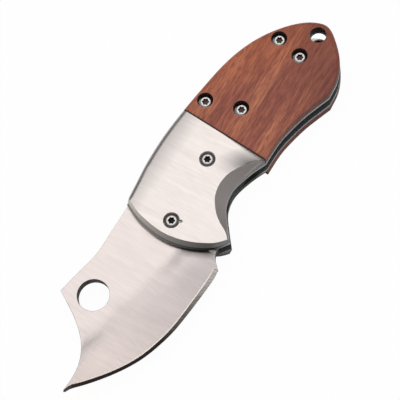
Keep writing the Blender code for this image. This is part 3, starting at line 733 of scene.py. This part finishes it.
# Painted shade on the rolled rim.
rolled = product(tree, fade(tree, roll, *rim_lean), fade(tree, from_spine, *rim_end))
face = mix_colours(tree, rolled, face, rim_shade_grey)
# Painted shade in the finger relief.
relief = product(tree, fade(tree, roll, *relief_lean), fade(tree, to_butt, *relief_end))
face = mix_colours(tree, relief, face, relief_shade_grey)

# The wall's tone is painted light and shade, by how far it lies towards the spine.
wall = mix_colours(tree, fade(tree, to_spine, *wall_fade), wall_shaded_tone, wall_lit_tone)
wall = mix_colours(tree, product(tree, lines, wall_lines_share), wall, wall_lines_grey)
# Walls below the blade's middle get painted shade.
wall = mix_colours(tree, fade(tree, height, *wall_low_fade), wall, low_wall_shade)
face = mix_colours(tree, fade(tree, level, *wall_lean), face, wall)
feed(tree, face, shader.inputs["Base Color"])
feed(tree, fade(tree, level, *metal_lean), shader.inputs["Metallic"])
feed(tree, spread(tree, lines, *bolster_roughness), shader.inputs["Roughness"])
from_corner = distance(tree, from_corner_way, joint_corner)
radius = fade(tree, from_corner, *corner_rounding)
feed(tree, soft_corner(tree, radius, lines), shader.inputs["Normal"])
for side in ("front", "back"):
    worked[side + "_bolster"].data.materials.append(bolster_steel)
print("satin steel on both bolsters")

# %% [markdown]
# ## Liner and small metal
#
# Along the grip the liners' inner faces are painted dark, as shade, so the slot between them
# looks like slate, and black by the scallop. Further in they are polished, and mirror the
# white table through the lanyard hole. Their cut edges are ground to a grey, with painted
# shade at their front ends and black painted shade by the scallop on the back liner. The
# standoffs and the lock leaf are the same steel.

# %% Colours and fades on the liners
rolled_lines = (400, 3000, 400)
liner_bump = 0.04

# The black and dark edge tones are painted shade at the liners' front ends; the grey is their ground edge.
edge_shade_black, edge_shade_dark, edge_grey = (0.05, 0.05, 0.05), (0.17, 0.16, 0.155), (0.42, 0.42, 0.42)
lead_fade, lead_end = (-12, 6, 0, 1), (0.5, 4.0, 0, 1)
scallop_start, scallop_end = (2, 5, 0, 1), (26, 28.5, 1, 0)
# Black painted shade on the back liner's edge by the scallop.
low_edge_shade_black, low_side = (0.03, 0.03, 0.032), (-1, 1, 1, 0)

face_lean, inner_height = (0.4, 0.8, 0, 1), (2.1, 2.3, 1, 0)
# The slate tones are painted shade in the slot between the liners.
slot_shade, slot_shade_black, slot_shade_metallic = (0.11, 0.117, 0.122), (0.04, 0.04, 0.042), 0.3
polished_steel, polish_start = (0.85, 0.85, 0.85), (-9, -6.5, 0, 1)
edge_roughness, polished_roughness, added_slot_shade_roughness = 0.28, 0.16, 0.26
print("liner recipe ready")

# %% Liner steel
liner_steel, tree, shader = new_material("liner_steel")
lines = brush(tree, rolled_lines)
level = place_group(tree, levelled)
to_butt = distance(tree, to_butt_way)
to_spine = distance(tree, to_spine_way)
height = distance(tree, to_front_way)
# Painted shade on the front ends of the liner edges.
lead = mix_colours(tree, fade(tree, to_spine, *lead_fade), edge_shade_black, edge_shade_dark)
edge = mix_colours(tree, fade(tree, to_butt, *lead_end), lead, edge_grey)
by_scallop = product(tree, fade(tree, to_butt, *scallop_start), fade(tree, to_butt, *scallop_end))
low_edge = product(tree, by_scallop, fade(tree, height, *low_side))
# Painted shade on the back liner's edge by the scallop.
edge = mix_colours(tree, low_edge, edge, low_edge_shade_black)

from_middle = value_step(tree, "ABSOLUTE", height)
inner = product(tree, fade(tree, level, *face_lean), fade(tree, from_middle, *inner_height))
polished = fade(tree, to_spine, *polish_start)
dull = product(tree, inner, rest_of(tree, polished))
# Painted shade in the slot, black by the scallop.
inside = mix_colours(tree, by_scallop, slot_shade, slot_shade_black)
inside = mix_colours(tree, polished, inside, polished_steel)
feed(tree, mix_colours(tree, inner, edge, inside), shader.inputs["Base Color"])
feed(tree, fade(tree, dull, 0, 1, 1, slot_shade_metallic), shader.inputs["Metallic"])
rough = fade(tree, inner, 0, 1, edge_roughness, polished_roughness)
rough = value_step(tree, "ADD", rough, fade(tree, dull, 0, 1, 0, added_slot_shade_roughness))
feed(tree, rough, shader.inputs["Roughness"])
outer_lines = product(tree, lines, rest_of(tree, inner))
feed(tree, bump(tree, outer_lines, liner_bump, line_depth).outputs["Normal"], shader.inputs["Normal"])
for node, piece in worked.items():
    if slots[node] == "liner_steel":
        piece.data.materials.append(liner_steel)
print("liners done")

# %% [markdown]
# The washers, the stop pin and the screws are plain metals, which differ in their tones and
# their roughness.

# %% Plain metals
plain_span = (0.3, 0.7)
plain_roughness_span = 0.06
plain_bump = 0.1


def plain_metal(name, bright, dull, rough):
    """A metal of two close tones with a light brushing."""
    finish, tree, shader = new_material(name)
    shader.inputs["Metallic"].default_value = 1
    lines = brush(tree, rolled_lines)
    colour = mix_colours(tree, fade(tree, lines, *plain_span), dull, bright)
    roughness = fade(tree, lines, *plain_span, rough + plain_roughness_span, rough)
    feed(tree, colour, shader.inputs["Base Color"])
    feed(tree, roughness, shader.inputs["Roughness"])
    feed(tree, bump(tree, lines, plain_bump, line_depth).outputs["Normal"], shader.inputs["Normal"])
    return finish


washer_bronze = plain_metal("washer_bronze", (0.55, 0.36, 0.20), (0.42, 0.27, 0.15), rough=0.3)
pin_steel = plain_metal("pin_steel", (0.50, 0.49, 0.48), (0.40, 0.39, 0.38), rough=0.25)
worked["stop_pin"].data.materials.append(pin_steel)
for side in ("front", "back"):
    worked[side + "_washer"].data.materials.append(washer_bronze)
print("washers and stop pin done")

# %% [markdown]
# ## Screw heads
#
# Each head shows a bright flat ring round a six-lobed recess painted dark as shade, and a
# sloped rim painted darker as shade. In the wooden seats the slope is painted lighter, and
# lighter still by a lower metallic where it faces the tip.

# %% Screw steels
head_bright = plain_metal("head_bright", (0.64, 0.62, 0.60), (0.52, 0.50, 0.485), rough=0.24)
# Painted shade: the sloped rim is a darker copy of the head's steel.
shaded_head_slope = plain_metal("shaded_head_slope", (0.48, 0.465, 0.45), (0.36, 0.35, 0.34), rough=0.30)
# Painted light: the slope in wooden seats is a lighter copy of the same steel.
lit_wood_slope = plain_metal("lit_slope_in_wood", (0.66, 0.64, 0.62), (0.52, 0.50, 0.49), rough=0.28)
# Painted shade in the six-lobed recesses, black in steel and brownish in wood.
recess_shade_black = plain_metal("recess_shade_black", (0.030, 0.028, 0.027), (0.018, 0.017, 0.016), rough=0.45)
recess_shade_brown = plain_metal("recess_shade_brown", (0.12, 0.070, 0.058), (0.07, 0.042, 0.035), rough=0.45)
lit_side_way = (-0.986, 0.163, 0)
lit_side_fade = (0, 0.35, 1, 0.2)
# Painted light on the side of the slope that faces the tip.
tree = lit_wood_slope.node_tree
way = tree.nodes.new("ShaderNodeNewGeometry")
facing = vector_step(tree, "DOT_PRODUCT", way.outputs["Normal"], lit_side_way)
shine = fade(tree, facing.outputs["Value"], *lit_side_fade)
feed(tree, shine, tree.nodes["Principled BSDF"].inputs["Metallic"])
print("screw steels ready")

# %% [markdown]
# A screw's faces are sorted by their distance from its axis and by their depth under its
# top. The axis is the middle of the screw. The nub makes the barrel lopsided, so the
# barrel's axis is taken from the pivot.

# %% Screws
ring_radius = 1.16 * mm
slope_start = 1.5 * mm
flat_depth = 0.03 * mm
head_depth = 1.2 * mm


def middle_of(spots):
    """The middle of a piece, seen from above."""
    spans = [(min(spot[i] for spot in spots), max(spot[i] for spot in spots)) for i in range(2)]
    return Vector([(low + high) / 2 for low, high in spans])


screw_axes = {}
for node, piece in worked.items():
    if slots[node] != "screw_steel" or node == "stop_pin":
        continue
    spots = [corner.co for corner in piece.data.vertices]
    side = -1 if node.startswith("back") or node == "pivot_screw" else 1
    top = max(spot.z * side for spot in spots)
    axis = pivot.xy if node == "pivot_barrel" else middle_of(spots)
    screw_axes[node] = axis
    # The recess and the slope get painted shade; in the wood the slope gets painted light.
    finishes = [head_bright, recess_shade_black, shaded_head_slope]
    if "scale" in node:
        finishes = [head_bright, recess_shade_brown, lit_wood_slope]
    for finish in finishes:
        piece.data.materials.append(finish)
    for face in piece.data.polygons:
        depth = top - face.center.z * side
        inside = all((spots[i].xy - axis).length < ring_radius for i in face.vertices)
        if inside and depth > flat_depth or depth > head_depth:
            face.material_index = 1
        elif (face.center.xy - axis).length > slope_start:
            face.material_index = 2
print(len(screw_axes), "screws")

# %% [markdown]
# ## Rosewood
#
# The scales are an oiled reddish wood. Bands of orange and purple brown run along the
# handle and wander a little. Fine darker fibres and short pores lie over them. The wood is
# more orange by the lanyard hole, and darker at the corner between the grip and the butt.
# Inside the screw seats and the lanyard hole the walls are painted dark, as shade, and along
# the joint the wood is dark with oil. Its other walls are a darker brown, partly end grain
# and partly painted shade.

# %% Colours and fades on the wood
wood_tones = ((0.34, (0.225, 0.070, 0.056, 1)), (0.44, (0.350, 0.108, 0.070, 1)),
              (0.52, (0.490, 0.168, 0.096, 1)), (0.66, (0.61, 0.230, 0.112, 1)))
band_share = 0.5
grain_turn, pore_turn = -4, -8

lanyard_side, lanyard_way = (62, -6, 0), (0.5, 0.86, 0)
orange_brown, lanyard_fade = (0.55, 0.155, 0.062), (0, 7, 0, 0.45)
corner_side, corner_way = (48, -6, 0), (0.582, -0.813, 0)
corner_brown, corner_fade = (0.17, 0.048, 0.036), (0, 11, 0, 0.58)
spine_brown, joint_spine_fade = (0.42, 0.125, 0.082), (-17, -9, 0.35, 0)

fibre_brown, fibre_fade = (0.15, 0.042, 0.034), (0.38, 0.60, 0.56, 0)
pore_brown, pore_fade = (0.06, 0.020, 0.016), (0.60, 0.72, 0, 0.38)
joint_end = (29.55, 0, 0)
oil_brown, oil_fade = (0.035, 0.015, 0.012), (0.15, 0.45, 0.9, 0)
# The walls' brown is partly end grain and partly painted shade.
end_grain_and_shade_brown, end_grain_and_shade_lean = (0.08, 0.026, 0.020), (0.0, 0.5, 0.55, 0)

wood_specular = 0.22
wood_roughness = (0.3, 0.7, 0.55, 0.42)
fibre_bump = 0.3
fibre_depth = 0.03 * mm
print("wood recipe ready")

# %% Rosewood
rosewood, tree, shader = new_material("rosewood")
shader.inputs["Specular IOR Level"].default_value = wood_specular


def grain(across, along, detail, turn=grain_turn):
    """Noise stretched along the handle."""
    return brush(tree, (along, across, across), turn, detail)


bands = grain(across=480, along=34, detail=4)
broad = grain(across=110, along=22, detail=1)
fibres = grain(across=2000, along=240, detail=3)
pores = grain(across=2700, along=380, detail=1, turn=pore_turn)
streak = value_step(tree, "ADD", product(tree, bands, band_share), product(tree, broad, 1 - band_share))
tones = tree.nodes.new("ShaderNodeValToRGB")
stops = tones.color_ramp.elements
stops[0].position, stops[0].color = wood_tones[0]
stops[1].position, stops[1].color = wood_tones[-1]
for position, colour in wood_tones[1:-1]:
    stops.new(position).color = colour
tree.links.new(streak, tones.inputs["Fac"])

to_lanyard = distance(tree, lanyard_way, lanyard_side)
to_corner = distance(tree, corner_way, corner_side)
from_joint = distance(tree, to_butt_way, joint_end)
level = place_group(tree, levelled)
wood = mix_colours(tree, fade(tree, to_lanyard, *lanyard_fade), tones.outputs["Color"], orange_brown)
wood = mix_colours(tree, fade(tree, to_corner, *corner_fade), wood, corner_brown)
wood = mix_colours(tree, fade(tree, to_corner, *joint_spine_fade), wood, spine_brown)
wood = mix_colours(tree, fade(tree, fibres, *fibre_fade), wood, fibre_brown)
wood = mix_colours(tree, fade(tree, pores, *pore_fade), wood, pore_brown)
wood = mix_colours(tree, fade(tree, from_joint, *oil_fade), wood, oil_brown)
# Walls turn darker brown: end grain and painted shade.
wood = mix_colours(tree, fade(tree, level, *end_grain_and_shade_lean), wood, end_grain_and_shade_brown)
feed(tree, wood, shader.inputs["Base Color"])
feed(tree, fade(tree, fibres, *wood_roughness), shader.inputs["Roughness"])
feed(tree, bump(tree, fibres, fibre_bump, fibre_depth).outputs["Normal"], shader.inputs["Normal"])
print("rosewood ready")

# %% Seats and holes in the wood
# The seat walls are painted near black, as shade.
seat_shade_specks = (900, 900, 900)
seat_shade_black, seat_shade_brown = (0.020, 0.014, 0.012), (0.055, 0.036, 0.030)
seat_roughness = 0.6
seat_radius = 2.36 * mm
lanyard_radius = 2.46 * mm
lanyard_from_pivot = Vector((69.9, -2.41)) * mm
seat_shade_dark, tree, shader = new_material("seat_shade_dark")
shader.inputs["Roughness"].default_value = seat_roughness
# Painted shade inside the screw seats and the lanyard hole.
seat_shade = mix_colours(tree, brush(tree, seat_shade_specks), seat_shade_black, seat_shade_brown)
feed(tree, seat_shade, shader.inputs["Base Color"])
holes = [(axis, seat_radius) for node, axis in screw_axes.items() if "scale" in node]
holes.append((pivot.xy + lanyard_from_pivot, lanyard_radius))
for side in ("front", "back"):
    scale = worked[side + "_scale"]
    scale.data.materials.append(rosewood)
    scale.data.materials.append(seat_shade_dark)
    for face in scale.data.polygons:
        if any((face.center.xy - axis).length < radius for axis, radius in holes):
            face.material_index = 1
print("rosewood on both scales")
